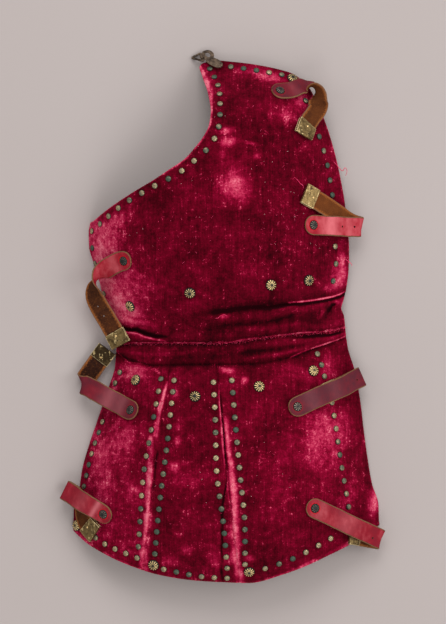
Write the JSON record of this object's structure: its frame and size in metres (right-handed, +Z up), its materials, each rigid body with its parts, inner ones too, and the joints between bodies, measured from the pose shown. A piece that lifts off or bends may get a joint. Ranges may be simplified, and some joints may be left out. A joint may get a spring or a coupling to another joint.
{
  "type": "brigandine half",
  "caption": "Velvet-covered front quarter of a riveted brigandine with leather straps and a shoulder clasp, lying hollow side down.",
  "frame": {"origin": "middle of the piece's outline seen from above, on the surface that it lies on", "axes": "+X towards the centre front edge, +Y towards the shoulder, +Z up, out of the velvet's face"},
  "size_m": [0.3488, 0.5711, 0.0786],
  "materials": {
    "velvet": "worn crimson silk velvet",
    "rivet_brass": "tarnished small domed heads with a green rim",
    "plate_steel": "dark forged steel",
    "rosette_brass": "tarnished gilt brass",
    "strap_leather": "dyed red grain side, brown flesh side",
    "tip_brass": "dull hammered brass sheet",
    "strap_rivet_metal": "dark flower-shaped head",
    "clasp_metal": "dark green-brown bronze"
  },
  "bodies": {
    "garment": {"cloth_breast": "velvet", "cloth_waist": "velvet", "cloth_skirt_side": "velvet", "cloth_skirt_middle": "velvet", "cloth_skirt_front": "velvet", "plate_breast": "plate_steel", "plate_skirt_side": "plate_steel", "plate_skirt_middle": "plate_steel", "plate_skirt_front": "plate_steel", "rosette_1": "rosette_brass", "rosette_2": "rosette_brass", "rosette_3": "rosette_brass", "rosette_4": "rosette_brass", "rosette_5": "rosette_brass", "rosette_6": "rosette_brass", "rosette_7": "rosette_brass", "rosette_8": "rosette_brass", "rosette_9": "rosette_brass", "rosette_10": "rosette_brass", "rosette_11": "rosette_brass", "rosette_12": "rosette_brass", "strap_shoulder": "strap_leather", "tip_shoulder": "tip_brass", "strap_rivet_shoulder": "strap_rivet_metal", "strap_chest_front": "strap_leather", "tip_chest_front": "tip_brass", "strap_rivet_chest_front": "strap_rivet_metal", "strap_chest_side": "strap_leather", "tip_chest_side": "tip_brass", "strap_rivet_chest_side": "strap_rivet_metal", "strap_waist_side": "strap_leather", "tip_waist_side": "tip_brass", "strap_rivet_waist_side": "strap_rivet_metal", "strap_skirt_side": "strap_leather", "tip_skirt_side": "tip_brass", "strap_rivet_skirt_side": "strap_rivet_metal", "strap_waist_front": "strap_leather", "tip_waist_front": "tip_brass", "strap_rivet_waist_front": "strap_rivet_metal", "strap_skirt_front": "strap_leather", "tip_skirt_front": "tip_brass", "strap_rivet_skirt_front": "strap_rivet_metal", "clasp_plate": "clasp_metal"},
    "ring": {"clasp_ring": "clasp_metal"}
  },
  "joints": [
    {"name": "clasp_ring_hinge", "type": "hinge", "parent": "garment", "child": "ring", "pos_m": [-0.0213, 0.2781, 0.0064], "axis": [-0.2808, 0.7315, -0.6213], "range_deg": [-5, 106]}
  ]
}
